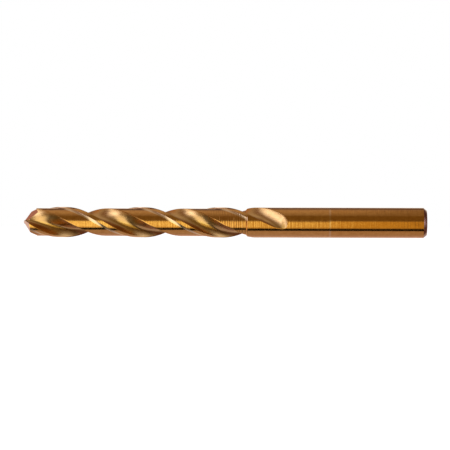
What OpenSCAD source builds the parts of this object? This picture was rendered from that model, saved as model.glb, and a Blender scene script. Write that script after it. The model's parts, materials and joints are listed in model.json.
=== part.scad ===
// Straight-shank twist drill, two right-hand flutes, 135 degree split point.
// Millimetres. The finished part lies along X with the point toward -X; the
// origin is the centre of the shank's end face and +Z is up.
// Everything is built standing on its shank and laid down at the end.

/* [Overall sizes] */
// Nominal diameter of the cutting part and of the shank
drill_d = 10; // [8:0.5:14]
// Length from the shank's end face to the chisel edge
overall_length = 133; // [120:1:165]
// Length of the flutes, from the point to the end of their run-out
flute_length = 87; // [72:1:92]
// Length of the tool-steel shank, from its end face to the friction weld
shank_length = 32; // [24:1:36]

/* [Flutes] */
// Angle between the margin's edge and the drill's axis
helix_angle = 32.2; // [26:0.2:36]
// Thickness of the web at the point
web_thickness = 1.4; // [1.1:0.1:1.8]
// How much the web grows toward the shank, in mm for each mm of length
web_growth = 0.054; // [0.02:0.002:0.056]
// Flat floor between the cutting face and the round back of the flute
floor_width = 0.35; // [0.1:0.05:0.7]
// Length over which the flute climbs out of the body
run_out_length = 8.2; // [6:0.2:12]
// Direction of the near lip round the axis when the drill lies at rest
rest_turn = -103.8; // [-180:0.2:180]

/* [Lands] */
// Width of each margin, measured round the body
margin_width = 1.43; // [1:0.01:1.9]
// Depth of the body clearance behind the margin
clearance_depth = 0.42; // [0.2:0.02:0.5]
// Length at the end of the flutes over which the lands keep the full diameter
full_land_length = 13.8; // [9:0.2:25]
// Loss of diameter toward the shank, in mm for each mm of length
back_taper = 0.0005; // [0.0003:0.0001:0.0008]

/* [Point] */
// Angle between the two cutting lips
point_angle = 135; // [118:1:140]
// Relief angle of the facet right behind each lip
first_relief = 12; // [8:1:14]
// Relief angle of the facet behind the first one
second_relief = 23; // [20:1:32]
// Width of the first relief facet
relief_width = 1.4; // [1:0.05:2]
// Direction in which the split's floor falls away, measured from the lip
split_turn = 78; // [70:1:86]
// Angle between the split's floor and the drill's axis
split_slope = 37; // [30:1:45]
// Direction of the edge that the split leaves, measured from the lip
split_edge = 45; // [35:1:52]
// Distance of that edge from the axis, which leaves a very short chisel edge
split_offset = 0.05; // [0.03:0.01:0.12]

/* [Shank end] */
// Length of the chamfer along the axis
chamfer_length = 1.1; // [0.6:0.1:1.6]
// Depth of the chamfer toward the axis
chamfer_depth = 0.9; // [0.5:0.1:1.3]

/* [Hidden] */
body_r = drill_d / 2;
web_r = web_thickness / 2;
// The round back is as wide as the flute is deep, so it always meets the heel.
back_r = (body_r - web_r) / 2;
margin_angle = margin_width / body_r * 180 / PI;
lead = PI * drill_d / tan(helix_angle);
twist = 360 / lead;
half_point = point_angle / 2;
lip_drop = 1 / tan(half_point);
web_rise = web_growth / 2;
run_out_start = flute_length - run_out_length;
// Distance from the point at which the body clearance ends
clearance_length = flute_length - full_land_length;
// The flute is fully out of the metal where its floor meets the outer wall.
run_out_rise = body_r - web_r - (web_rise + back_taper / 2) * flute_length;
// Axial length of the ramp between the clearance and the full diameter
clearance_ramp = 0.5;
// Degrees round the axis taken by the step from the clearance to the margin
margin_step = 4;
// How far the ring mesh reaches past the point, and into the plain neck
over_point = 0.4;
into_neck = 1;
// Shallowest flute drawn, so that no two points of a ring meet
last_depth = 0.1;
rings_body = 58;
rings_run_out = 12;
land_points = 7;
margin_points = 4;
face_points = 7;
heel_points = 8;
bisections = 22;
round_fn = 96;
cutter = 3 * drill_d;

// The section is drawn seen from the point. It has its flute floor at the
// top, and turns with the helix. d is the distance back from the point.

function outer_r(d) = body_r - back_taper / 2 * max(d, 0);

function land_r(d) =
    let (back = min(1, max(0, (d - clearance_length) / clearance_ramp)))
    outer_r(d) - clearance_depth * (1 - back);

function flute_lift(d) =
    let (out = max(0, (d - run_out_start) / run_out_length))
    web_rise * d + run_out_rise * pow(out, 1.5);

// Cutting face: the curve that gives a straight lip at the point angle.
function face_point(r, d) =
    let (reach = sqrt(max(0, r * r - web_r * web_r)),
         turn = asin(min(1, web_r / r)) + twist * lip_drop * reach)
    [r * cos(turn), r * sin(turn) + flute_lift(d)];

// Back of the flute: a short flat floor, then one arc up to the heel.
function back_point(s, d) =
    let (turn = (s - floor_width) / back_r * 180 / PI,
         floor_y = web_r + flute_lift(d))
    s <= floor_width
        ? [-s, floor_y]
        : [-floor_width - back_r * sin(turn), floor_y + back_r * (1 - cos(turn))];

// Place where the face reaches the outer wall, found by halving.
function face_end(d, low, high, left) =
    let (middle = (low + high) / 2)
    left == 0 ? middle
    : norm(face_point(middle, d)) < outer_r(d)
        ? face_end(d, middle, high, left - 1)
        : face_end(d, low, middle, left - 1);

// Place where the back reaches the land's wall, found the same way.
function back_end(d, low, high, left) =
    let (middle = (low + high) / 2)
    left == 0 ? middle
    : norm(back_point(middle, d)) < land_r(d)
        ? back_end(d, middle, high, left - 1)
        : back_end(d, low, middle, left - 1);

function at(r, turn) = [r * cos(turn), r * sin(turn)];

// Half of the section, from one heel round the land and through one flute.
function half_section(d) =
    let (face_r = face_end(d, web_r, body_r * 1.05, bisections),
         far = floor_width + back_r * PI * 0.9,
         back_s = back_end(d, 0, far, bisections),
         edge = face_point(face_r, d),
         heel = back_point(back_s, d),
         edge_turn = atan2(edge[1], edge[0]),
         heel_turn = atan2(heel[1], heel[0]) - 180,
         step_turn = edge_turn - margin_angle - margin_step)
    concat(
        [for (i = [0 : land_points - 1])
            at(land_r(d), heel_turn + (step_turn - heel_turn) * i / (land_points - 1))],
        [for (i = [0 : margin_points - 1])
            at(outer_r(d), edge_turn - margin_angle * (1 - i / (margin_points - 1)))],
        [for (i = [1 : face_points])
            face_point(web_r + (face_r - web_r) * pow(1 - i / face_points, 1.4), d)],
        [for (i = [1 : heel_points])
            back_point(back_s * i / (heel_points + 1), d)]);

function turned(p, turn) =
    [p[0] * cos(turn) - p[1] * sin(turn), p[0] * sin(turn) + p[1] * cos(turn)];

function section_turn(d) = rest_turn - twist * (d + web_r * tan(first_relief));

// One whole ring of the mesh at distance d from the point.
function ring(d) =
    let (half = half_section(d), turn = section_turn(d), z = overall_length - d)
    [for (side = [0, 180], p = half)
        let (q = turned(p, turn + side)) [q[0], q[1], z]];

// The last section pushed out to the round wall, which closes the flutes.
function closed_ring(d, from) =
    [for (p = ring(from))
        let (q = at(outer_r(from), atan2(p[1], p[0]))) [q[0], q[1], overall_length - d]];

run_out_end = flute_length - last_depth;
stations = concat(
    [for (i = [0 : rings_body - 1])
        -over_point + (run_out_start + over_point) * i / rings_body],
    [for (i = [0 : rings_run_out])
        run_out_start + (run_out_end - run_out_start) * i / rings_run_out]);
// The ramp at the clearance's end gets rings of its own.
ramp = [clearance_length, clearance_length + clearance_ramp];
kept = [for (d = stations) if (abs(d - ramp[0]) > 0.4 && abs(d - ramp[1]) > 0.4) d];
before = [for (d = kept) if (d < ramp[0]) d];
after = [for (d = kept) if (d > ramp[1]) d];
levels = concat(before, ramp, after);

module ringed_solid(rings) {
    n = len(rings[0]);
    last = len(rings) - 1;
    points = [for (r = rings, p = r) p];
    sides = [for (j = [0 : last - 1], i = [0 : n - 1], half = [0, 1])
        let (k = (i + 1) % n, a = j * n + i, b = j * n + k, c = a + n, e = b + n)
        half == 0 ? [a, b, c] : [b, e, c]];
    first_cap = [[for (i = [0 : n - 1]) n - 1 - i]];
    last_cap = [[for (i = [0 : n - 1]) last * n + i]];
    polyhedron(points = points, faces = concat(first_cap, sides, last_cap));
}

// Everything above one relief facet, for the lip that runs along +X.
module relief_block(angle, behind) {
    rise = (tan(angle) - tan(first_relief)) * behind;
    lean = 90 - half_point;
    translate([0, 0, overall_length + rise])
        rotate([atan(tan(angle) * cos(lean)), lean, 0])
            translate([-cutter / 2, -cutter / 2, 0])
                cube([cutter, cutter, cutter]);
}

// The notch that splits the chisel edge, on the side of one flute: all that
// lies above its sloping floor and beyond the upright face of its edge.
module split_block() {
    translate([0, 0, overall_length])
        intersection() {
            rotate([0, 0, split_turn])
                rotate([0, 90 - split_slope, 0])
                    translate([-cutter / 2, -cutter / 2, 0])
                        cube([cutter, cutter, cutter]);
            rotate([0, 0, split_edge])
                translate([-cutter / 2, split_offset, -cutter / 2])
                    cube([cutter, cutter, cutter]);
        }
}

module point_cutters() {
    for (side = [0, 180])
        rotate([0, 0, side + rest_turn]) {
            relief_block(first_relief, 0);
            relief_block(second_relief, relief_width - web_r);
            split_block();
        }
}

module fluted_body() {
    color([0.83, 0.62, 0.30])
    rotate([0, -90, 0]) {
        difference() {
            ringed_solid(concat(
                [for (d = levels) ring(d)],
                [closed_ring(flute_length, run_out_end),
                 closed_ring(flute_length + into_neck, run_out_end)]));
            point_cutters();
        }
        translate([0, 0, shank_length])
            cylinder(h = overall_length - flute_length - shank_length, r = body_r,
                     $fn = round_fn);
    }
}

module shank() {
    color([0.80, 0.58, 0.28])
    rotate([0, -90, 0]) {
        cylinder(h = chamfer_length, r1 = body_r - chamfer_depth, r2 = body_r,
                 $fn = round_fn);
        translate([0, 0, chamfer_length])
            cylinder(h = shank_length - chamfer_length, r = body_r, $fn = round_fn);
    }
}

fluted_body();
shank();
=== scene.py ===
"""Straight-shank twist drill with a gold-coloured film, lying on a pale floor."""
import json
import logging
import math
from dataclasses import dataclass, field
from enum import Enum
from typing import Any, Callable

import bpy
from mathutils import Matrix, Vector

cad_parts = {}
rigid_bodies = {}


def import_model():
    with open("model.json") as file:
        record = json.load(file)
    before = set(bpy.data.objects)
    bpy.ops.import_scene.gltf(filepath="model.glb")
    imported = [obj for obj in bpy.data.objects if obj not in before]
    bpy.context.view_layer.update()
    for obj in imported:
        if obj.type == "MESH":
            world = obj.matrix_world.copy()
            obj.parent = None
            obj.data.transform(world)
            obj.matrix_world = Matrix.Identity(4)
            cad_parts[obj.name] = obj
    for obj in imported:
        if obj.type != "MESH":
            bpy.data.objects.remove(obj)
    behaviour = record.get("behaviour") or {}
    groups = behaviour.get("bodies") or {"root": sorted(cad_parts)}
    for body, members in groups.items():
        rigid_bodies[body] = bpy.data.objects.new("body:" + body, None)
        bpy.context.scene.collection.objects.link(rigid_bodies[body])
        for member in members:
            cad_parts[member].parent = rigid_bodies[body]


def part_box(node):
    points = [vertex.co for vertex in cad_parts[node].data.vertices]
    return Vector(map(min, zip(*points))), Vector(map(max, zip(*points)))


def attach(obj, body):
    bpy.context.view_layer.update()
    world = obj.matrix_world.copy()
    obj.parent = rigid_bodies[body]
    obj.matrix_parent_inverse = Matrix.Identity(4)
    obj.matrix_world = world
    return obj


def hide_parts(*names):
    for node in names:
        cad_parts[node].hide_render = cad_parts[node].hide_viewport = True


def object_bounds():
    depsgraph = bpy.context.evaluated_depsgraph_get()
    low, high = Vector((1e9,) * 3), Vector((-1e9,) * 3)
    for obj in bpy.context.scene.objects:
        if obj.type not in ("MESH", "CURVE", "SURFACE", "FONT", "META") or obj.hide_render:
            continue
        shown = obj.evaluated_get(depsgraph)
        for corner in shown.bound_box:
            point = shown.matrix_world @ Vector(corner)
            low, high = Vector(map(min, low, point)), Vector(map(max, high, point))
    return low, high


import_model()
cad_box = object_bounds()

LOG = logging.getLogger("twist_drill")
MM = 0.001
DEGREES = 180.0 / math.pi
SIDES = (0.0, math.pi)  # turns of the two flutes round the axis
Point2 = tuple[float, float]
Colour = tuple[float, float, float]


# --------------------------------------------------------------------------
# Shader helpers
# --------------------------------------------------------------------------


class Socket:
    """One output socket, on which arithmetic adds Math nodes."""

    def __init__(self, graph: "Graph", output: bpy.types.NodeSocket) -> None:
        """Keeps the socket and the graph that it belongs to."""
        self.graph = graph
        self.output = output

    def _math(self, operation: str, *values: "Socket | float") -> "Socket":
        """Adds one Math node.

        Args:
            operation: The node's operation.
            *values: Its inputs, links or numbers.

        Returns:
            The node's value.
        """
        return self.graph.node("ShaderNodeMath", {"operation": operation}, dict(enumerate(values)))

    def __add__(self, other: "Socket | float") -> "Socket":
        """Adds two values."""
        return self._math("ADD", self, other)

    def __sub__(self, other: "Socket | float") -> "Socket":
        """Takes the other value from this one."""
        return self._math("SUBTRACT", self, other)

    def __rsub__(self, other: float) -> "Socket":
        """Takes this value from a number."""
        return self._math("SUBTRACT", other, self)

    def __mul__(self, other: "Socket | float") -> "Socket":
        """Multiplies two values."""
        return self._math("MULTIPLY", self, other)

    def arctan2(self, other: "Socket | float") -> "Socket":
        """The angle of this value over the other, in radians."""
        return self._math("ARCTAN2", self, other)

    def arcsine(self) -> "Socket":
        """The angle whose sine is this value, in radians."""
        return self._math("ARCSINE", self)

    def step(self, low: float, high: float) -> "Socket":
        """Rises smoothly.

        Args:
            low: The value that gives 0.
            high: The value that gives 1.

        Returns:
            A value from 0 to 1.
        """
        return self.graph.node(
            "ShaderNodeMapRange",
            {"interpolation_type": "SMOOTHSTEP", "clamp": True},
            {"Value": self, "From Min": low, "From Max": high, "To Min": 0.0, "To Max": 1.0},
        )

    def band(self, low: float, high: float, soft: float) -> "Socket":
        """Rises and falls again.

        Args:
            low: Middle of the rise.
            high: Middle of the fall.
            soft: Half the width of each.

        Returns:
            1 between the two, and 0 outside them.
        """
        rise = self.step(low - soft, low + soft)
        fall = self.step(high - soft, high + soft)
        return rise * (1.0 - fall)


class Graph:
    """A node tree that is filled by one method."""

    def __init__(self, tree: bpy.types.NodeTree) -> None:
        """Empties the tree and keeps it."""
        self.tree = tree
        tree.nodes.clear()

    def node(
        self, kind: str, settings: dict[str, Any], inputs: dict[Any, Any], output: Any = 0
    ) -> Socket | None:
        """Adds a node.

        Args:
            kind: The node's type name.
            settings: Its properties, such as an operation.
            inputs: The values or links of its sockets, by name or number.
            output: The socket that is returned, by name or number.

        Returns:
            The chosen output, or None for a node that has none.
        """
        made = self.tree.nodes.new(kind)
        for name, value in settings.items():
            setattr(made, name, value)
        for name, value in inputs.items():
            if isinstance(value, Socket):
                self.tree.links.new(value.output, made.inputs[name])
            else:
                made.inputs[name].default_value = value
        return Socket(self, made.outputs[output]) if made.outputs else None

    def mix(self, factor: Socket | float, first: Any, second: Any) -> Socket:
        """Mixes two colours.

        Args:
            factor: 0 for the first, 1 for the second.
            first: A colour or a link.
            second: A colour or a link.

        Returns:
            The mixed colour.
        """
        plain = [(*c, 1.0) if isinstance(c, tuple) and len(c) == 3 else c for c in (first, second)]
        return self.node(
            "ShaderNodeMix", {"data_type": "RGBA"}, {0: factor, 6: plain[0], 7: plain[1]}, 2
        )

    def stretched(self, source: Socket, scale: Colour) -> Socket:
        """Scales coordinates, so that a pattern stretches along an axis."""
        return self.node("ShaderNodeMapping", {}, {"Vector": source, "Scale": scale})

    def noise(self, place: Socket, scale: float, detail: float = 3.0) -> Socket:
        """Smooth noise from 0 to 1.

        Args:
            place: Coordinates.
            scale: Features for each unit of the coordinates.
            detail: Octaves.

        Returns:
            The noise's value.
        """
        return self.node(
            "ShaderNodeTexNoise", {}, {"Vector": place, "Scale": scale, "Detail": detail}
        )

    def axes(self, vector: Socket) -> tuple[Socket, Socket, Socket]:
        """Splits a vector.

        Args:
            vector: The vector.

        Returns:
            Its three parts.
        """
        first = self.node("ShaderNodeSeparateXYZ", {}, {"Vector": vector})
        others = first.output.node.outputs
        return first, Socket(self, others[1]), Socket(self, others[2])


# --------------------------------------------------------------------------
# Finishes
# --------------------------------------------------------------------------


class Lay(Enum):
    """Direction of the fine marks that the grinding wheel left.

    Each holds the stretch of its noise along the three axes, its scale and its octaves.
    """

    ROUND = ((1.0, 0.06, 0.06), 2600.0, 4.0)
    ALONG = ((1.0, 0.03, 1.0), 4.0, 4.0)
    CROSSED = ((0.15, 1.0, 0.4), 3800.0, 3.0)


@dataclass(frozen=True)
class GoldFilm:
    """Ground steel under a thin gold-coloured film."""

    name: str
    film: Colour
    deep_film: Colour
    roughness: float
    lay: Lay
    cloud_stretch: Colour = (0.5, 1.0, 1.0)
    cloud_scale: float = 1300.0
    cloud_share: float = 0.75
    mark_share: float = 0.35
    deep_below: float = 0.25
    light_above: float = 0.85
    mark_strength: float = 0.5
    mark_depth: float = 6e-5
    mark_roughness: float = 0.10
    mark_polish: float = 0.04
    weld_x: float = -0.032
    weld_half: float = 3e-4
    weld_soft: float = 2e-4
    weld_share: float = 0.18
    weld_tint: Colour = (0.85, 0.60, 0.34)

    def material(self) -> bpy.types.Material:
        """Makes the finish's material.

        Returns:
            A node material that reads Object coordinates or the piece's UV map.
        """
        made = bpy.data.materials.new(self.name)
        made.use_nodes = True
        graph = Graph(made.node_tree)
        where = graph.node("ShaderNodeTexCoord", {}, {}, "Object")
        marks, cloud = self._marks(graph, where)
        light = cloud * self.cloud_share + marks * self.mark_share
        light = light.step(self.deep_below, self.light_above)
        tone = graph.mix(light, self.deep_film, self.film)
        x, _, _ = graph.axes(where)
        weld = x.band(self.weld_x - self.weld_half, self.weld_x + self.weld_half, self.weld_soft)
        tone = graph.mix(weld * self.weld_share, tone, self.weld_tint)
        rough = marks * self.mark_roughness + (self.roughness - self.mark_polish)
        bump = graph.node(
            "ShaderNodeBump",
            {},
            {"Strength": self.mark_strength, "Distance": self.mark_depth, "Height": marks},
        )
        shader = graph.node(
            "ShaderNodeBsdfPrincipled",
            {},
            {"Base Color": tone, "Metallic": 1.0, "Roughness": rough, "Normal": bump},
        )
        graph.node("ShaderNodeOutputMaterial", {}, {"Surface": shader})
        return made

    def _marks(self, graph: Graph, where: Socket) -> tuple[Socket, Socket]:
        """Fine marks and a broad cloud of tone.

        Args:
            graph: The material's graph.
            where: Object coordinates.

        Returns:
            The marks and the cloud, both from 0 to 1.
        """
        place = where
        if self.lay is Lay.ALONG:
            place = graph.node("ShaderNodeUVMap", {"uv_map": "lay"}, {})
        stretch, scale, octaves = self.lay.value
        fine = graph.noise(graph.stretched(place, stretch), scale, octaves)
        cloud = graph.noise(graph.stretched(where, self.cloud_stretch), self.cloud_scale)
        return fine, cloud


@dataclass(frozen=True)
class Finishes:
    """Every finish of the drill, by the ground surface that carries it; the step's finish also
    holds a painted highlight.
    """

    land: GoldFilm = GoldFilm(
        "land_film", (0.64, 0.27, 0.056), (0.50, 0.19, 0.034), 0.13, Lay.ROUND
    )
    # The step's film is lighter and paler than the land's film. It is the gold film plus a painted
    # highlight: the cream light that the concave step between land and margin catches.
    step: GoldFilm = GoldFilm("step_film_painted_highlight", (0.76, 0.45, 0.20), (0.72, 0.41, 0.17), 0.2, Lay.ALONG)
    margin: GoldFilm = GoldFilm(
        "margin_film", (0.66, 0.29, 0.065), (0.60, 0.25, 0.05), 0.15, Lay.ROUND
    )
    flute: GoldFilm = GoldFilm(
        "flute_film", (0.62, 0.32, 0.095), (0.55, 0.27, 0.07), 0.22, Lay.ALONG
    )
    flank: GoldFilm = GoldFilm(
        "flank_film", (0.84, 0.52, 0.38), (0.76, 0.44, 0.30), 0.4, Lay.CROSSED
    )
    split: GoldFilm = GoldFilm(
        "split_film", (0.66, 0.25, 0.14), (0.58, 0.20, 0.10), 0.45, Lay.CROSSED
    )
    shank: GoldFilm = GoldFilm(
        "shank_film", (0.62, 0.25, 0.048), (0.49, 0.18, 0.028), 0.13, Lay.ROUND
    )
    end: GoldFilm = GoldFilm("end_film", (0.44, 0.22, 0.15), (0.36, 0.16, 0.10), 0.25, Lay.CROSSED)


# --------------------------------------------------------------------------
# The drill
# --------------------------------------------------------------------------


class Zone(Enum):
    """Ground surfaces of the fluted body, in the order of its material slots."""

    LAND = 0
    STEP = 1
    MARGIN = 2
    FLUTE = 3
    FLANK = 4
    SPLIT = 5


def smooth(share: float) -> float:
    """Eases a share of the way, kept between 0 and 1."""
    kept = min(1.0, max(0.0, share))
    return kept * kept * (3.0 - 2.0 * kept)


@dataclass
class FluteLaw:
    """The section of the fluted body, in millimetres back from the point."""

    radius: float = 5.0
    overall: float = 133.0
    flute_length: float = 87.0
    lead: float = math.pi * 10.0 / math.tan(math.radians(32.2))
    back_taper: float = 0.0005
    rest_turn: float = math.radians(-103.8)

    # Flutes and their run-out
    web_r: float = 0.7
    web_rise: float = 0.027
    floor_width: float = 0.35
    run_out_length: float = 8.2
    floor_power: float = 1.5
    rim_power: float = 3.5
    late_turn: float = math.radians(9.0)
    late_length: float = 12.0
    lip_end: float = -0.5
    lip_blend: float = 2.5
    core_extra: float = 0.9
    core_fade: float = 75.0
    heel_lean: float = math.radians(30.0)

    # Lands, steps and margins
    margin_width: float = 1.43
    margin_wall: float = 0.03
    clearance_depth: float = 0.42
    clearance_length: float = 73.2
    clearance_ramp: float = 0.6
    step_width: float = 1.15
    step_wall: float = 0.05
    step_share: float = 0.48
    ripple_start: float = 60.0
    ripple_growth: float = 3.0
    ripple_fade: float = 0.3
    ripple_height: float = 0.014
    ripple_turns: tuple[float, float] = (10.6, 17.3)
    ripple_share: float = 0.6
    ripple_phase: float = 1.0

    # Lips and corners
    lip_drop: float = 1.0 / math.tan(math.radians(67.5))
    first_relief: float = math.radians(12.0)
    corner: float = 0.045
    corner_limit: float = 0.2
    corner_sides: float = 0.30
    corner_tip: float = 0.40

    # Points round a ring, and rings along the body
    points: dict[Zone, int] = field(
        default_factory=lambda: {Zone.LAND: 14, Zone.STEP: 10, Zone.MARGIN: 8, Zone.FLUTE: 47}
    )
    face_points: int = 18
    face_crowding: float = 1.3
    over_point: float = 0.6
    tip_end: float = 8.0
    last_stretch: float = 1.0
    last_gap: float = 0.01
    pitches: tuple[float, ...] = (0.2, 0.27, 0.1, 0.05, 0.22, 0.09)
    closing: tuple[float, ...] = (0.02, 0.15)
    neck_rings: int = 12
    neck_growth: float = 2.5

    # Limits of the searches by halving
    face_reach: float = 1.05
    back_reach: float = 0.9
    pull_low: float = 0.02
    pull_high: float = 1.2
    pull_extra: float = 0.5
    halvings: int = 40

    @property
    def twist(self) -> float:
        """Turn of the helix, in radians for each millimetre."""
        return 2.0 * math.pi / self.lead

    @property
    def back_r(self) -> float:
        """Radius of the flute's round back."""
        return (self.radius - self.web_r) / 2.0

    @property
    def cleared(self) -> float:
        """Distance at which the land has its full radius again."""
        return self.clearance_length + self.clearance_ramp

    def outer_r(self, d: float) -> float:
        """Radius over the margins."""
        return self.radius - self.back_taper / 2.0 * max(d, 0.0)

    def land_r(self, d: float) -> float:
        """Radius of the cleared land, which rises to the full one at its end."""
        past = smooth((d - self.clearance_length) / self.clearance_ramp)
        return self.outer_r(d) - self.clearance_depth * (1.0 - past) + self._ripple(d)

    def _ripple(self, d: float) -> float:
        """Ripple that the wheel left on the last stretch of the cleared land.

        Args:
            d: Distance back from the point.

        Returns:
            Its height there.
        """
        if not self.ripple_start < d < self.clearance_length:
            return 0.0
        begun = (d - self.ripple_start) / self.ripple_growth
        left = (self.clearance_length - d) / self.ripple_fade
        first, second = self.ripple_turns
        wave = math.sin(d * first) + self.ripple_share * math.sin(d * second + self.ripple_phase)
        return self.ripple_height * min(1.0, begun, left) * wave

    def lift(self, d: float, power: float) -> float:
        """Height that the flute has climbed out of the body.

        Args:
            d: Distance back from the point.
            power: How late in the run-out it climbs.

        Returns:
            The height.
        """
        out = max(0.0, (d - self.flute_length + self.run_out_length) / self.run_out_length)
        slope = self.web_rise + self.back_taper / 2.0
        rest = self.radius - self.web_r - slope * self.flute_length
        return self.web_rise * d + rest * out**power

    def face_point(self, r: float, d: float) -> Point2:
        """A point of the cutting face, which gives a straight lip.

        Args:
            r: Radius of the point before the flute climbs.
            d: Distance back from the point of the drill.

        Returns:
            Its place in the section.
        """
        reach = math.sqrt(max(0.0, r * r - self.web_r**2))
        turn = math.asin(min(1.0, self.web_r / r)) + self.twist * self.lip_drop * reach
        return r * math.cos(turn), r * math.sin(turn) + self.lift(d, self.rim_power)

    def back_point(self, s: float, d: float) -> Point2:
        """A point of the flute's floor and round back.

        Args:
            s: Length from the axis, along the floor and the back.
            d: Distance back from the point of the drill.

        Returns:
            Its place in the section.
        """
        floor_y = self.web_r + self.lift(d, self.rim_power)
        if s <= self.floor_width:
            return -s, floor_y
        turn = (s - self.floor_width) / self.back_r
        return (
            -self.floor_width - self.back_r * math.sin(turn),
            floor_y + self.back_r * (1.0 - math.cos(turn)),
        )

    def swept_floor(self, edge: Point2, heel: Point2, d: float, count: int) -> list[Point2]:
        """The hollow that the wheel sweeps, as one smooth curve from edge to heel.

        Args:
            edge: The curve's start, beside the margin.
            heel: The curve's end.
            d: Distance back from the point.
            count: How many points to give.

        Returns:
            The points of the deepest such curve that keeps the core whole.
        """
        extra = max(0.0, self.core_extra * (1.0 - d / self.core_fade))
        core = self.web_r + self.lift(d, self.floor_power) + extra
        from_edge = math.atan2(-edge[1], -edge[0])
        from_heel = math.atan2(-heel[1], -heel[0]) + self.heel_lean

        def curve(pull: float) -> list[Point2]:
            """The curve for one length of its two handles.

            Args:
                pull: Length of the handles.

            Returns:
                The curve's points.
            """
            spots = (
                edge,
                (edge[0] + math.cos(from_edge) * pull, edge[1] + math.sin(from_edge) * pull),
                (heel[0] + math.cos(from_heel) * pull, heel[1] + math.sin(from_heel) * pull),
                heel,
            )
            made: list[Point2] = []
            for i in range(count):
                t = i / (count - 1)
                shares = ((1 - t) ** 3, 3 * (1 - t) ** 2 * t, 3 * (1 - t) * t * t, t**3)
                made.append(tuple(sum(w * p[k] for w, p in zip(shares, spots)) for k in (0, 1)))
            return made

        def whole(pull: float) -> bool:
            """Whether the curve stays clear of the core."""
            return min(math.hypot(*p) for p in curve(pull)) > core

        reach = math.dist(edge, heel)
        longest = self.pull_high * reach + self.pull_extra
        return curve(self._crossing(self.pull_low * reach, longest, whole))

    def _crossing(self, low: float, high: float, inside: Callable[[float], bool]) -> float:
        """Finds by halving where a curve leaves the metal.

        Args:
            low: A place inside.
            high: A place outside.
            inside: Tells whether a place is inside.

        Returns:
            The place of the crossing.
        """
        for _ in range(self.halvings):
            middle = (low + high) / 2.0
            if inside(middle):
                low = middle
            else:
                high = middle
        return low

    def half_section(self, d: float) -> list[Point2]:
        """Half of the section at a distance from the point.

        Args:
            d: Distance back from the point.

        Returns:
            Its points from one heel, round the land and through one flute.
        """
        outer, inner = self.outer_r(d), self.land_r(d)
        far = self.radius * self.face_reach
        face_r = self._crossing(
            self.web_r, far, lambda r: math.hypot(*self.face_point(r, d)) < outer
        )
        far = self.floor_width + self.back_r * math.pi * self.back_reach
        back_s = self._crossing(0.0, far, lambda s: math.hypot(*self.back_point(s, d)) < inner)
        edge, heel = self.face_point(face_r, d), self.back_point(back_s, d)
        edge_turn = math.atan2(edge[1], edge[0])
        heel_turn = math.atan2(heel[1], heel[0]) - math.pi
        shortest = min(face_r - self.web_r, back_s)
        nick = min(self.corner, self.corner_limit * shortest)

        start = heel_turn + nick / inner
        points = self._land(d, start, edge_turn, edge_turn - nick / outer)
        points.append(self._corner(self.face_point(face_r - nick, d), points[-1], edge))
        points += self._flute(d, face_r - nick, back_s - nick)
        land_start = (-inner * math.cos(start), -inner * math.sin(start))
        points.append(self._corner(points[-1], land_start, heel))
        return points

    def _corner(self, before: Point2, after: Point2, tip: Point2) -> Point2:
        """Blunts a sharp corner.

        Args:
            before: The point before the corner.
            after: The point after it.
            tip: The sharp corner.

        Returns:
            One point between the three.
        """
        return tuple(
            self.corner_sides * (a + b) + self.corner_tip * c for a, b, c in zip(before, after, tip)
        )

    def _land(self, d: float, start: float, edge_turn: float, end: float) -> list[Point2]:
        """The land, the step and the margin of half a section.

        Args:
            d: Distance back from the point.
            start: Turn at which the land starts, beside the heel.
            edge_turn: Turn of the cutting edge.
            end: Turn at which the margin ends, beside that edge.

        Returns:
            Their points, in order round the axis.
        """
        outer, inner = self.outer_r(d), self.land_r(d)
        margin_turn = edge_turn - self.margin_width / self.radius
        step_turn = margin_turn - self.step_width / self.radius
        wall_turn = margin_turn - self.step_wall / self.radius
        count = self.points[Zone.LAND]
        polar = [(inner, start + (step_turn - start) * i / count) for i in range(count)]
        count = self.points[Zone.STEP]
        rise = (outer - inner) * self.step_share
        for i in range(count):
            share = i / (count - 1)
            turn = step_turn + (wall_turn - step_turn) * share
            polar.append((inner + rise * share * share, turn))
        count = self.points[Zone.MARGIN]
        first = margin_turn + self.margin_wall / outer
        polar += [(outer, first + (end - first) * i / (count - 1)) for i in range(count)]
        return [(r * math.cos(turn), r * math.sin(turn)) for r, turn in polar]

    def _flute(self, d: float, face_end: float, back_end: float) -> list[Point2]:
        """The flute of half a section, which the wheel sweeps behind the lip.

        Args:
            d: Distance back from the point.
            face_end: Radius at which the cutting face meets the blunted edge.
            back_end: Length from the axis to the heel, along the floor and the back.

        Returns:
            Its points from the cutting edge to the heel.
        """
        ground: list[Point2] = []
        for i in range(self.face_points):
            share = (1.0 - i / self.face_points) ** self.face_crowding
            ground.append(self.face_point(self.web_r + (face_end - self.web_r) * share, d))
        last = self.points[Zone.FLUTE] - self.face_points - 3
        ground += [self.back_point(back_end * i / last, d) for i in range(last + 1)]
        swept = self.swept_floor(ground[0], ground[-1], d, len(ground))
        share = smooth((d - self.lip_end) / self.lip_blend)
        return [tuple(a + (b - a) * share for a, b in zip(*pair)) for pair in zip(ground, swept)]

    def section_turn(self, d: float) -> float:
        """Turn of the section round the axis, so that the lip starts at the rest turn."""
        late = self.late_turn * smooth((d - self.flute_length) / self.late_length + 1.0)
        return self.rest_turn - self.twist * (d + self.web_r * math.tan(self.first_relief)) + late

    def ring(self, d: float) -> list[Vector]:
        """One whole ring, laid down along X, in metres.

        Args:
            d: Distance back from the point.

        Returns:
            Its points, in order round the axis.
        """
        fluted = min(d, self.flute_length - self.last_gap)
        half, turn = self.half_section(fluted), self.section_turn(fluted)
        if d >= self.flute_length:
            grown = min(1.0, (d - self.flute_length) / self.neck_growth)
            r = self.outer_r(self.flute_length) * (1.0 - grown) + self.radius * grown
            half = [(r * x / math.hypot(x, y), r * y / math.hypot(x, y)) for x, y in half]
        made: list[Vector] = []
        for side in SIDES:
            c, s = math.cos(turn + side), math.sin(turn + side)
            for x, y in half:
                up, away = x * c - y * s, x * s + y * c
                made.append(Vector((-(self.overall - d), away, up)) * MM)
        return made

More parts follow.
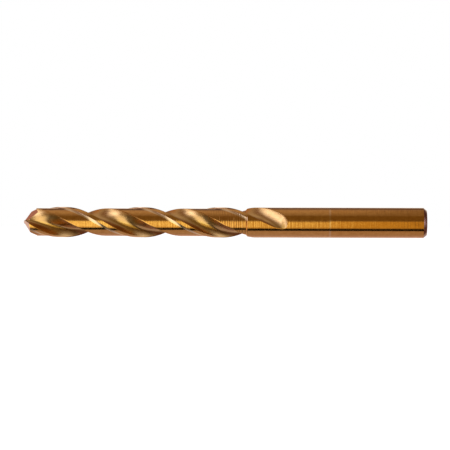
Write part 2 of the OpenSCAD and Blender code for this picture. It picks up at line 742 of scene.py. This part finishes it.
    def zones(self) -> list[Zone]:
        """The zone of each face round the ring."""
        return [zone for zone, count in self.points.items() for _ in range(count)] * 2

    def stations(self, end: float) -> list[float]:
        """Distances back from the point at which rings are drawn.

        Args:
            end: Distance of the weld.

        Returns:
            The distances, in order.
        """
        limits = (
            -self.over_point,
            self.tip_end,
            self.ripple_start,
            self.clearance_length,
            self.cleared,
            self.flute_length - self.last_stretch,
            self.flute_length - self.last_gap,
        )
        made: list[float] = []
        for low, high, pitch in zip(limits, limits[1:], self.pitches):
            count = max(1, round((high - low) / pitch))
            made += [low + (high - low) * i / count for i in range(count)]
        made.append(limits[-1])
        made += [self.flute_length + past for past in self.closing]
        first = made[-1]
        count = self.neck_rings
        made += [first + (end - first) * i / count for i in range(1, count + 1)]
        return made


def only(target: bpy.types.Object) -> None:
    """Makes one object the active and only selected one.

    Args:
        target: The object.
    """
    bpy.ops.object.select_all(action="DESELECT")
    target.select_set(True)
    bpy.context.view_layer.objects.active = target


@dataclass
class FlutedBody:
    """The high-speed-steel part: point, lands, flutes, run-out and neck."""

    law: FluteLaw
    finishes: Finishes
    weld_x: float
    second_relief: float = math.radians(16.0)
    relief_width: float = 1.4
    split_turn: float = math.radians(78.0)
    split_slope: float = math.radians(37.0)
    split_edge: float = math.radians(45.0)
    split_offset: float = 0.05
    wheel_size: float = 12.0
    sample_ring: float = 30.0
    seam_gap: float = 1e-7
    cut_gap: float = 1e-8
    sliver_width: float = 4e-6
    sliver_area: float = 1e-6
    facet_end: float = 9.0
    facet_angle: float = 2e-3
    crease: float = math.radians(42.0)

    def build(self) -> bpy.types.Object:
        """Models the fluted body.

        Returns:
            The finished piece.
        """
        piece = self._wrapped_sheet()
        self._grind_reliefs(piece)
        self._split_point(piece)
        self._clean(piece)
        self._dress(piece)
        return piece

    def _wrapped_sheet(self) -> bpy.types.Object:
        """Wraps a flat grid round the drill's section and closes its ends.

        Returns:
            A closed bar with both flutes and a square end before the point.
        """
        law = self.law
        zones = law.zones()
        stations = law.stations(law.overall + self.weld_x / MM)
        bpy.ops.object.select_all(action="DESELECT")
        bpy.ops.mesh.primitive_grid_add(
            x_subdivisions=len(zones), y_subdivisions=len(stations) - 1, size=1.0
        )
        piece = bpy.context.active_object
        piece.name = "fluted_body_ground"
        mesh = piece.data
        mesh.name = piece.name
        places: list[float] = []
        for d in stations:
            ring = law.ring(d)
            for spot in (*ring, ring[0]):
                places.extend(spot)
        mesh.vertices.foreach_set("co", places)
        self._lay_out(mesh, zones, stations)
        self._close(piece)
        return piece

    def _lay_out(self, mesh: bpy.types.Mesh, zones: list[Zone], stations: list[float]) -> None:
        """Gives each face of the sheet its finish and its place on the marks' map.

        Args:
            mesh: The wrapped grid.
            zones: The zone of each face round the ring.
            stations: Distance of each ring back from the point.
        """
        law = self.law
        for zone in Zone:
            mesh.materials.append(getattr(self.finishes, zone.name.lower()).material())
        sample = law.ring(self.sample_ring)
        across = [0.0]
        for spot, after in zip(sample, (*sample[1:], sample[0])):
            across.append(across[-1] + (after - spot).length / MM)
        layer = mesh.uv_layers.active
        layer.name = "lay"
        width = len(across)
        for polygon in mesh.polygons:
            zone = zones[min(i % width for i in polygon.vertices)]
            back = stations[min(i // width for i in polygon.vertices)]
            if back >= law.flute_length or (back >= law.cleared and zone is not Zone.FLUTE):
                zone = Zone.LAND
            polygon.material_index = zone.value
            for loop in polygon.loop_indices:
                row, column = divmod(mesh.loops[loop].vertex_index, width)
                layer.data[loop].uv = (across[column], stations[row])

    def _close(self, piece: bpy.types.Object) -> None:
        """Joins the sheet's seam and fills both ends.

        Args:
            piece: The wrapped grid.
        """
        only(piece)
        bpy.ops.object.mode_set(mode="EDIT")
        bpy.ops.mesh.select_all(action="SELECT")
        bpy.ops.mesh.remove_doubles(threshold=self.seam_gap)
        bpy.ops.mesh.select_all(action="DESELECT")
        bpy.ops.mesh.select_non_manifold(use_wire=False, use_multi_face=False, use_verts=False)
        bpy.ops.mesh.edge_face_add()
        bpy.ops.mesh.select_all(action="SELECT")
        bpy.ops.mesh.normals_make_consistent(inside=False)
        bpy.ops.object.mode_set(mode="OBJECT")

    def _tip_frame(self, side: float) -> Matrix:
        """Turns tip coordinates into the row's frame.

        Args:
            side: Turn of the lip round the axis, 0 or half a turn.

        Returns:
            A matrix from lip, heel and height at the tip to the row's frame.
        """
        lay_down = Matrix(((0, 0, -1), (0, 1, 0), (1, 0, 0))).to_4x4()
        turn = Matrix.Rotation(self.law.rest_turn + side, 4, "Z")
        return Matrix.Translation((-self.law.overall * MM, 0, 0)) @ lay_down @ turn

    def _relief_normal(self, relief: float) -> Vector:
        """Outward direction of a relief facet, in tip coordinates."""
        return Vector((self.law.lip_drop, -math.tan(relief), 1.0)).normalized()

    def _split_floor(self) -> Matrix:
        """Turns a level floor into the split's sloping one, in tip coordinates."""
        tilt = Matrix.Rotation(math.pi / 2.0 - self.split_slope, 4, "Y")
        return Matrix.Rotation(self.split_turn, 4, "Z") @ tilt

    def _grind_reliefs(self, piece: bpy.types.Object) -> None:
        """Grinds both relief facets behind each lip.

        Args:
            piece: The square-ended bar.
        """
        law = self.law
        behind = self.relief_width - law.web_r
        rise = (math.tan(self.second_relief) - math.tan(law.first_relief)) * behind
        only(piece)
        bpy.ops.object.mode_set(mode="EDIT")
        for side in SIDES:
            place = self._tip_frame(side)
            for relief, height in ((law.first_relief, 0.0), (self.second_relief, rise)):
                bpy.ops.mesh.select_all(action="SELECT")
                bpy.ops.mesh.bisect(
                    plane_co=place @ Vector((0.0, 0.0, height * MM)),
                    plane_no=place.to_3x3() @ self._relief_normal(relief),
                    use_fill=True,
                    clear_outer=True,
                    threshold=self.cut_gap,
                )
        bpy.ops.object.mode_set(mode="OBJECT")

    def _split_point(self, piece: bpy.types.Object) -> None:
        """Cuts the notch that splits the chisel edge on both sides.

        Args:
            piece: The bar with its relief facets.
        """
        size = self.wheel_size * MM
        edge = Matrix.Rotation(self.split_edge, 3, "Z")
        for side in SIDES:
            place = self._tip_frame(side)
            bpy.ops.object.select_all(action="DESELECT")
            bpy.ops.mesh.primitive_cube_add(size=size)
            wheel = bpy.context.active_object
            lifted = self._split_floor() @ Matrix.Translation((0.0, 0.0, size / 2.0))
            wheel.data.transform(place @ lifted)
            only(wheel)
            bpy.ops.object.mode_set(mode="EDIT")
            bpy.ops.mesh.select_all(action="SELECT")
            bpy.ops.mesh.bisect(
                plane_co=place @ (edge @ Vector((0.0, self.split_offset * MM, 0.0))),
                plane_no=place.to_3x3() @ (edge @ Vector((0.0, -1.0, 0.0))),
                use_fill=True,
                clear_outer=True,
            )
            bpy.ops.mesh.select_all(action="SELECT")
            bpy.ops.mesh.normals_make_consistent(inside=False)
            bpy.ops.object.mode_set(mode="OBJECT")
            only(piece)
            cut = piece.modifiers.new("split", "BOOLEAN")
            cut.operation = "DIFFERENCE"
            cut.solver = "EXACT"
            cut.object = wheel
            bpy.ops.object.modifier_apply(modifier=cut.name)
            bpy.data.objects.remove(wheel, do_unlink=True)

    def _clean(self, piece: bpy.types.Object) -> None:
        """Merges slivers along the cuts.

        Args:
            piece: The ground piece.
        """
        only(piece)
        bpy.ops.object.mode_set(mode="EDIT")
        bpy.ops.mesh.select_all(action="SELECT")
        bpy.ops.mesh.remove_doubles(threshold=self.sliver_width)
        bpy.ops.mesh.dissolve_degenerate(threshold=self.sliver_area)
        bpy.ops.object.mode_set(mode="OBJECT")

    def _facets(self) -> list[tuple[Vector, Zone]]:
        """Lists the ground facets of the point.

        Returns:
            Outward direction and zone of each facet.
        """
        floor = self._split_floor().to_3x3() @ Vector((0.0, 0.0, 1.0))
        face = Matrix.Rotation(self.split_edge, 3, "Z") @ Vector((0.0, 1.0, 0.0))
        made: list[tuple[Vector, Zone]] = []
        for side in SIDES:
            turned = self._tip_frame(side).to_3x3()
            for relief in (self.law.first_relief, self.second_relief):
                made.append((turned @ self._relief_normal(relief), Zone.FLANK))
            made += [(turned @ floor, Zone.SPLIT), (turned @ face, Zone.SPLIT)]
        return made

    def _dress(self, piece: bpy.types.Object) -> None:
        """Gives the ground facets of the point their finishes.

        Args:
            piece: The finished shape.
        """
        facets = self._facets()
        end = (self.facet_end - self.law.overall) * MM
        for polygon in piece.data.polygons:
            if polygon.center.x > end:
                continue
            for normal, zone in facets:
                if normal.angle(polygon.normal) < self.facet_angle:
                    polygon.material_index = zone.value
                    break
        only(piece)
        bpy.ops.object.shade_smooth_by_angle(angle=self.crease)


@dataclass
class Shank:
    """The plain tool-steel shank with its chamfered end."""

    finishes: Finishes
    low: Vector
    high: Vector
    chamfer_length: float = 1.1
    chamfer_depth: float = 0.9
    edge_break: float = 0.12
    end_insets: tuple[float, ...] = (0.35, 1.2, 1.6)
    round_count: int = 160
    level_gap: float = 1e-7
    rim_gap: float = 1e-6
    end_gap: float = 5e-5
    crease: float = math.radians(40.0)

    def build(self) -> bpy.types.Object:
        """Models the shank.

        Returns:
            The finished piece.
        """
        radius = (self.high.z - self.low.z) / 2.0
        length = self.high.x - self.low.x
        bpy.ops.object.select_all(action="DESELECT")
        bpy.ops.mesh.primitive_cylinder_add(
            vertices=self.round_count,
            radius=radius,
            depth=length,
            location=((self.high.x + self.low.x) / 2.0, 0.0, 0.0),
            rotation=(0.0, math.pi / 2.0, 0.0),
        )
        piece = bpy.context.active_object
        piece.name = "shank_ground"
        bpy.ops.object.transform_apply(location=True, rotation=True, scale=True)
        self._chamfer(piece, radius)
        self._dress(piece)
        return piece

    def _chamfer(self, piece: bpy.types.Object, radius: float) -> None:
        """Turns the chamfer and breaks its two edges.

        Args:
            piece: The plain cylinder.
            radius: Its radius.
        """
        mesh = piece.data
        only(piece)
        bpy.ops.object.mode_set(mode="EDIT")
        bpy.ops.mesh.select_mode(type="FACE")
        bpy.ops.mesh.select_all(action="DESELECT")
        bpy.ops.object.mode_set(mode="OBJECT")
        for polygon in mesh.polygons:
            polygon.select = polygon.normal.x > 0.9
        bpy.ops.object.mode_set(mode="EDIT")
        bpy.ops.transform.translate(value=(-self.chamfer_length * MM, 0.0, 0.0))
        bpy.ops.mesh.extrude_region_move(
            TRANSFORM_OT_translate={"value": (self.chamfer_length * MM, 0.0, 0.0)}
        )
        share = 1.0 - self.chamfer_depth * MM / radius
        bpy.ops.transform.resize(value=(1.0, share, share))
        for inset in self.end_insets:
            bpy.ops.mesh.inset(thickness=inset * MM, depth=0.0)
        bpy.ops.mesh.select_all(action="DESELECT")
        bpy.ops.mesh.select_mode(type="EDGE")
        bpy.ops.object.mode_set(mode="OBJECT")
        ends = (self.high.x, self.high.x - self.chamfer_length * MM)
        for edge in mesh.edges:
            spots = [mesh.vertices[i].co for i in edge.vertices]
            rim = all(min(abs(p.x - e) for e in ends) < self.level_gap for p in spots)
            level = abs(spots[0].x - spots[1].x) < self.level_gap
            outer = all(math.hypot(p.y, p.z) > radius * share - self.rim_gap for p in spots)
            edge.select = rim and level and outer
        bpy.ops.object.mode_set(mode="EDIT")
        bpy.ops.mesh.bevel(
            offset=self.edge_break * MM, offset_type="OFFSET", segments=3, affect="EDGES"
        )
        bpy.ops.mesh.select_all(action="SELECT")
        bpy.ops.mesh.normals_make_consistent(inside=False)
        bpy.ops.object.mode_set(mode="OBJECT")

    def _dress(self, piece: bpy.types.Object) -> None:
        """Gives the wall and the turned end their finishes.

        Args:
            piece: The finished shape.
        """
        mesh = piece.data
        mesh.materials.clear()
        mesh.materials.append(self.finishes.shank.material())
        mesh.materials.append(self.finishes.end.material())
        edge = self.high.x - self.chamfer_length * MM + self.end_gap
        for polygon in mesh.polygons:
            polygon.material_index = 1 if polygon.center.x > edge else 0
        only(piece)
        bpy.ops.object.shade_smooth_by_angle(angle=self.crease)


# --------------------------------------------------------------------------
# The studio
# --------------------------------------------------------------------------


@dataclass(frozen=True)
class SoftPanel:
    """A soft panel, seen from the drill.

    Heights are degrees up from level at the front, and sides are degrees toward
    the shank. A panel that leans moves toward the shank as it rises, until it stops.
    """

    low: float
    high: float
    height_soft: float
    left: float
    right: float
    side_soft: float
    colour: Colour
    lean: float = 0.0
    stop: float = 120.0
    stop_soft: float = 3.0

    def mask(self, height: Socket, side: Socket) -> Socket:
        """Tells where the panel is.

        Args:
            height: Degrees up from level at the front.
            side: Degrees toward the shank.

        Returns:
            1 on the panel, fading to 0 round it.
        """
        upright = side - height * self.lean
        tall = height.band(self.low, self.high, self.height_soft)
        wide = upright.band(self.left, self.right, self.side_soft)
        past = side.step(self.stop - self.stop_soft, self.stop + self.stop_soft)
        return tall * wide * (1.0 - past)


@dataclass
class Studio:
    """Pale floor, soft panels all round, and the camera."""

    low: Vector
    high: Vector
    aim_x: float = -0.0001
    aim_z: float = -0.00083
    distance: float = 1.0
    frame_width: float = 0.14863
    sensor: float = 36.0
    clip_start: float = 0.01
    roll: float = math.radians(-0.16)
    floor_size: float = 8.0
    floor_paint: Colour = (0.8, 0.8, 0.8)
    floor_glow: float = 0.75
    ambient: Colour = (0.34, 0.33, 0.34)
    panels: tuple[SoftPanel, ...] = (
        SoftPanel(72.0, 118.0, 30.0, -100.0, 6.0, 4.0, (0.66, 0.68, 0.80)),
        SoftPanel(124.0, 152.0, 5.0, -90.0, 90.0, 5.0, (0.18, 0.15, 0.16)),
        SoftPanel(154.0, 200.0, 5.0, -100.0, 100.0, 5.0, (1.05, 1.00, 0.80)),
        SoftPanel(100.0, 150.0, 8.0, -100.0, -20.0, 8.0, (0.60, 0.38, 0.24)),
        SoftPanel(12.0, 55.0, 7.0, -8.0, 95.0, 3.0, (0.25, 0.205, 0.09)),
        SoftPanel(-190.0, -65.0, 5.0, -100.0, 95.0, 4.0, (0.60, 0.62, 0.92)),
        SoftPanel(-200.0, -130.0, 12.0, -100.0, 100.0, 5.0, (0.85, 0.82, 0.80)),
        SoftPanel(-62.0, 8.0, 16.0, -34.0, -4.0, 2.0, (1.70, 1.95, 2.40)),
        SoftPanel(-44.0, 9.0, 6.0, -6.5, 16.0, 3.0, (0.86, 0.76, 0.26)),
        SoftPanel(-38.0, 9.0, 6.0, -9.0, -1.6, 2.4, (2.15, 2.80, 2.50)),
        SoftPanel(-66.0, -47.0, 3.5, -18.0, 45.0, 6.0, (0.0, 0.0, 0.0)),
        SoftPanel(-62.0, -42.0, 12.0, -57.0, -14.0, 7.0, (0.0, 0.0, 0.0)),
        SoftPanel(-100.0, 24.0, 26.0, 16.0, 36.0, 4.0, (0.10, 0.06, 0.02)),
        SoftPanel(-30.0, 50.0, 30.0, 50.0, 78.0, 6.0, (1.30, 1.60, 2.60)),
        SoftPanel(-6.0, 56.0, 16.0, -72.0, -34.0, 8.0, (3.10, 3.90, 6.80), lean=0.2, stop=-9.0),
        SoftPanel(40.0, 80.0, 26.0, -47.0, -14.0, 14.0, (0.24, 0.12, 0.06)),
        SoftPanel(-105.0, -60.0, 14.0, -58.0, -8.0, 3.0, (0.12, 0.12, 0.08)),
        SoftPanel(-80.0, 42.0, 18.0, -100.0, -46.0, 8.0, (0.53, 0.40, 0.26)),
        SoftPanel(-200.0, -62.0, 6.0, -100.0, -60.0, 5.0, (1.15, 1.00, 0.80)),
        SoftPanel(-138.0, -70.0, 6.0, 28.0, 120.0, 5.0, (0.16, 0.08, 0.07)),
        SoftPanel(70.0, 140.0, 6.0, 28.0, 120.0, 5.0, (0.14, 0.08, 0.07)),
        SoftPanel(-140.0, 140.0, 5.0, 77.0, 120.0, 2.0, (0.10, 0.055, 0.05)),
        SoftPanel(-7.0, 6.0, 4.0, 77.0, 120.0, 3.0, (0.90, 0.85, 0.95)),
    )

    @property
    def centre_x(self) -> float:
        """Middle of the view along the drill."""
        return (self.low[0] + self.high[0]) / 2.0 + self.aim_x

    def light(self) -> None:
        """Makes the world: white to the camera, soft panels to everything else."""
        world = bpy.data.worlds.new("soft_panels")
        bpy.context.scene.world = world
        world.use_nodes = True
        graph = Graph(world.node_tree)
        aim = graph.node("ShaderNodeTexCoord", {}, {}, "Generated")
        x, y, z = graph.axes(aim)
        height = z.arctan2(y * -1.0) * DEGREES
        side = x.arcsine() * DEGREES
        tone: Any = self.ambient
        for panel in self.panels:
            tone = graph.mix(panel.mask(height, side), tone, panel.colour)
        soft = graph.node("ShaderNodeBackground", {}, {"Color": tone, "Strength": 1.0})
        plain = graph.node("ShaderNodeBackground", {}, {"Color": (1, 1, 1, 1), "Strength": 1.0})
        seen = graph.node("ShaderNodeLightPath", {}, {}, "Is Camera Ray")
        both = graph.node("ShaderNodeMixShader", {}, {0: seen, 1: soft, 2: plain})
        graph.node("ShaderNodeOutputWorld", {}, {"Surface": both})

    def floor(self) -> None:
        """Lays a pale floor that is white to the camera and keeps the shadow."""
        bpy.ops.object.select_all(action="DESELECT")
        bpy.ops.mesh.primitive_plane_add(
            size=self.floor_size, location=(self.centre_x, 0.0, self.low[2])
        )
        floor = bpy.context.active_object
        floor.name = "floor"
        paint = bpy.data.materials.new("pale_floor")
        paint.use_nodes = True
        graph = Graph(paint.node_tree)
        matt = graph.node("ShaderNodeBsdfDiffuse", {}, {"Color": (*self.floor_paint, 1.0)})
        glow = graph.node(
            "ShaderNodeEmission", {}, {"Color": (1, 1, 1, 1), "Strength": self.floor_glow}
        )
        both = graph.node("ShaderNodeAddShader", {}, {0: matt, 1: glow})
        seen = graph.node("ShaderNodeLightPath", {}, {}, "Is Camera Ray")
        shown = graph.node("ShaderNodeMixShader", {}, {0: seen, 1: matt, 2: both})
        graph.node("ShaderNodeOutputMaterial", {}, {"Surface": shown})
        floor.data.materials.append(paint)
        floor.visible_glossy = False

    def camera(self) -> None:
        """Sets up a long lens level with the drill, square to its axis."""
        data = bpy.data.cameras.new("long_lens")
        data.sensor_width = self.sensor
        data.lens = self.sensor * self.distance / self.frame_width
        data.clip_start = self.clip_start
        camera = bpy.data.objects.new("long_lens", data)
        bpy.context.scene.collection.objects.link(camera)
        camera.location = (self.centre_x, -self.distance, self.aim_z)
        camera.rotation_euler = (math.pi / 2.0, self.roll, 0.0)
        bpy.context.scene.camera = camera


def main() -> None:
    """Builds the drill and its studio."""
    scene = bpy.context.scene
    scene.view_settings.view_transform = "Standard"
    finishes = Finishes()
    low, high = (Vector(corner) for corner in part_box("shank"))

    body = FlutedBody(FluteLaw(), finishes, weld_x=low.x).build()
    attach(body, "root")
    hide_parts("fluted_body")
    LOG.info("fluted body: %d faces", len(body.data.polygons))

    shank = Shank(finishes, low, high).build()
    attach(shank, "root")
    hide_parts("shank")
    LOG.info("shank: %d faces", len(shank.data.polygons))

    studio = Studio(*cad_box)
    studio.light()
    studio.floor()
    studio.camera()
    LOG.info("studio ready")


if __name__ == "__main__":
    logging.basicConfig(level=logging.INFO, format="%(name)s: %(message)s")
    main()
